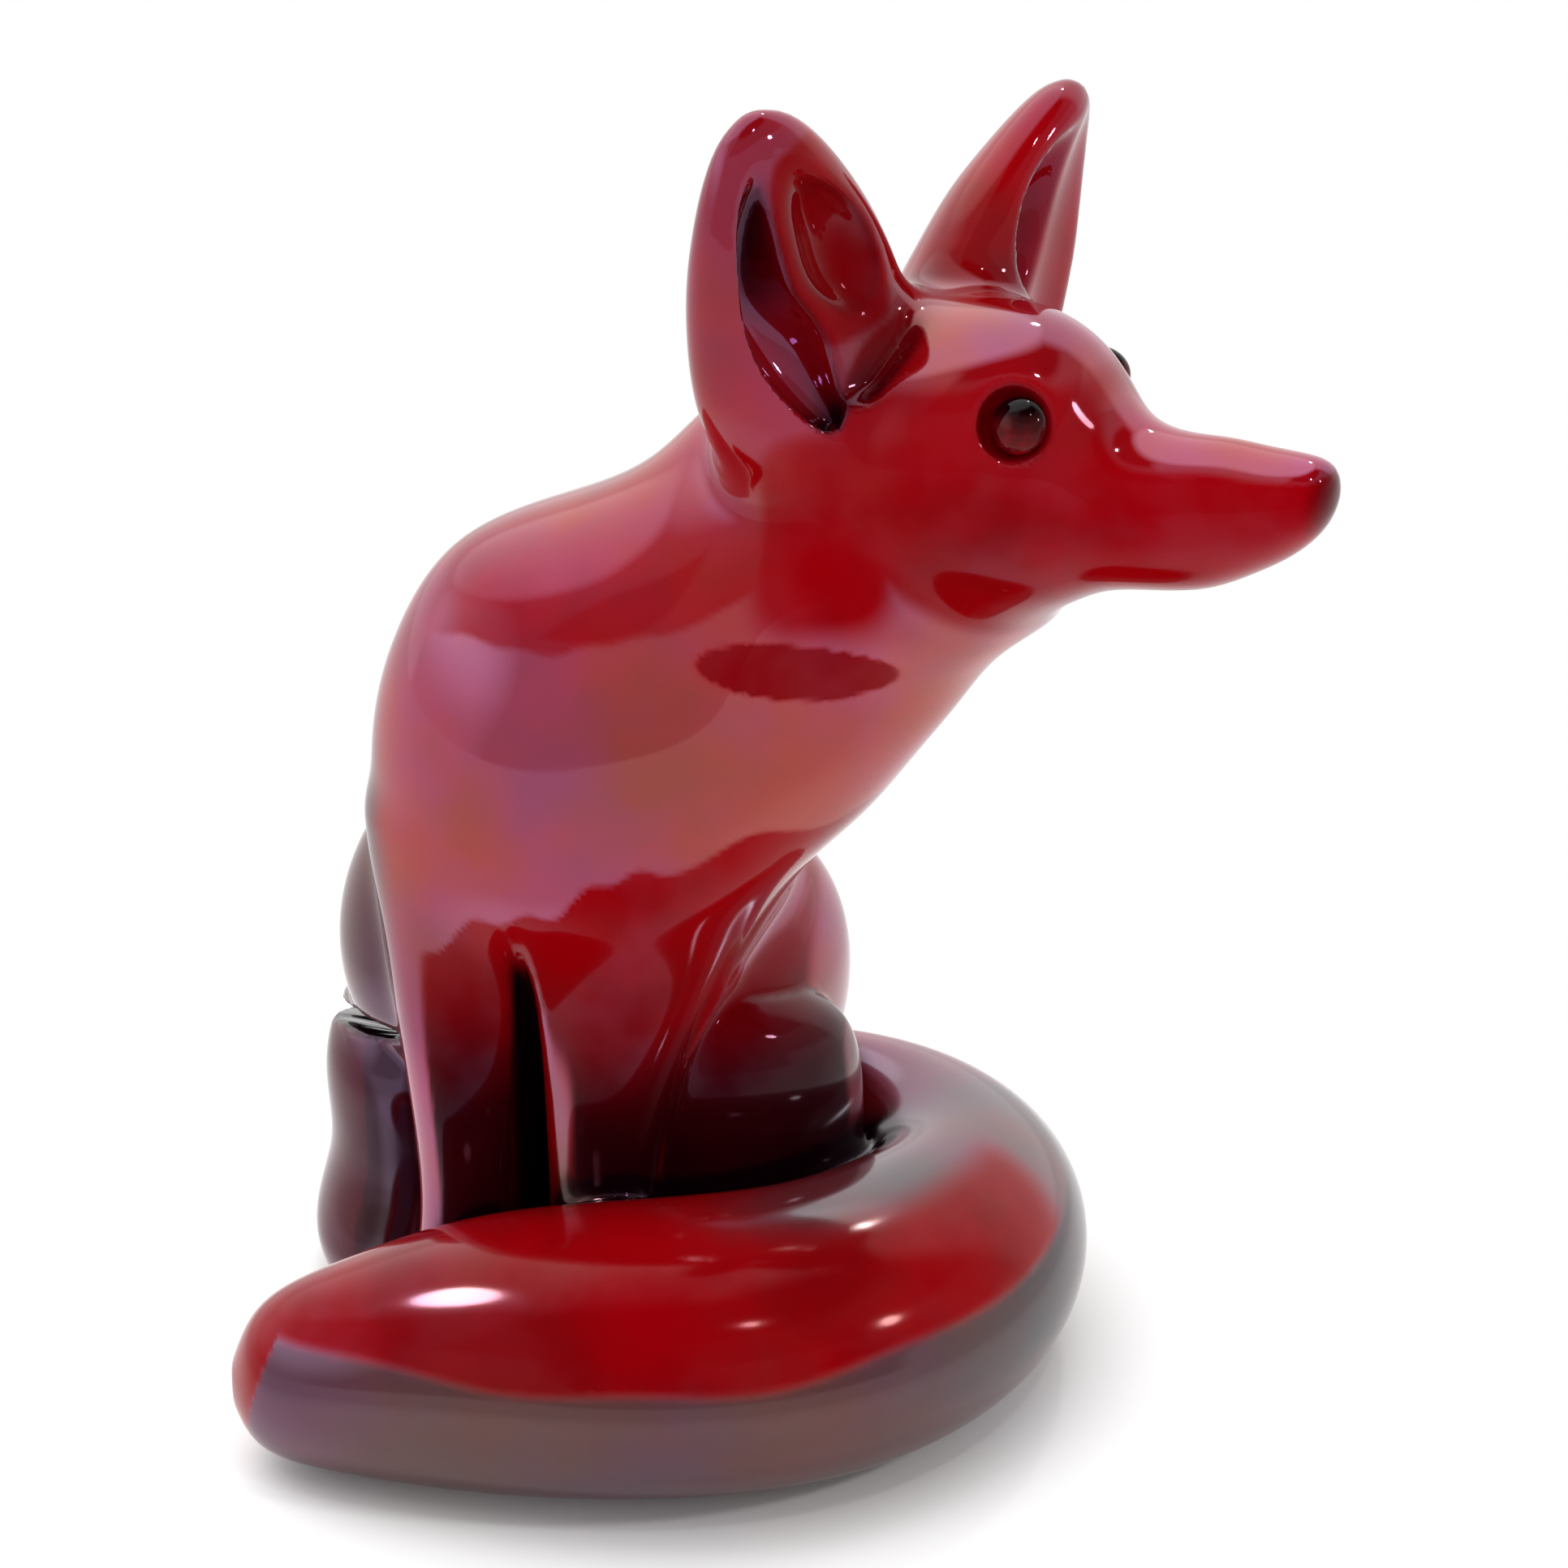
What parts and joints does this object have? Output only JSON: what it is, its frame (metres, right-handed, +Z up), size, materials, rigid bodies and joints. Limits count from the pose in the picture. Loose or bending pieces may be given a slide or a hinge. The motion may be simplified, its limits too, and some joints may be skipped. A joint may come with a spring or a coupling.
{
  "type": "fox figurine",
  "caption": "Seated ceramic fox in a red lustre glaze, looking over its left shoulder, its tail curled round its paws, free standing.",
  "frame": {"origin": "on the ground under the middle of the haunches, on the flat underside of the torso", "axes": "+Z up, the fox's chest faces -Y, its left side is +X, and its muzzle points towards +X"},
  "size_m": [0.0892, 0.073, 0.1121],
  "materials": {
    "lustre_glaze": "gloss",
    "eye_glaze": "gloss"
  },
  "bodies": {
    "root": {"body_shell": "lustre_glaze", "head_shell": "lustre_glaze", "right_ear": "lustre_glaze", "left_ear": "lustre_glaze", "right_eye": "eye_glaze", "left_eye": "eye_glaze", "right_foreleg": "lustre_glaze", "left_foreleg": "lustre_glaze", "right_haunch": "lustre_glaze", "left_haunch": "lustre_glaze", "right_hind_foot": "lustre_glaze", "left_hind_foot": "lustre_glaze", "tail": "lustre_glaze"}
  },
  "joints": []
}
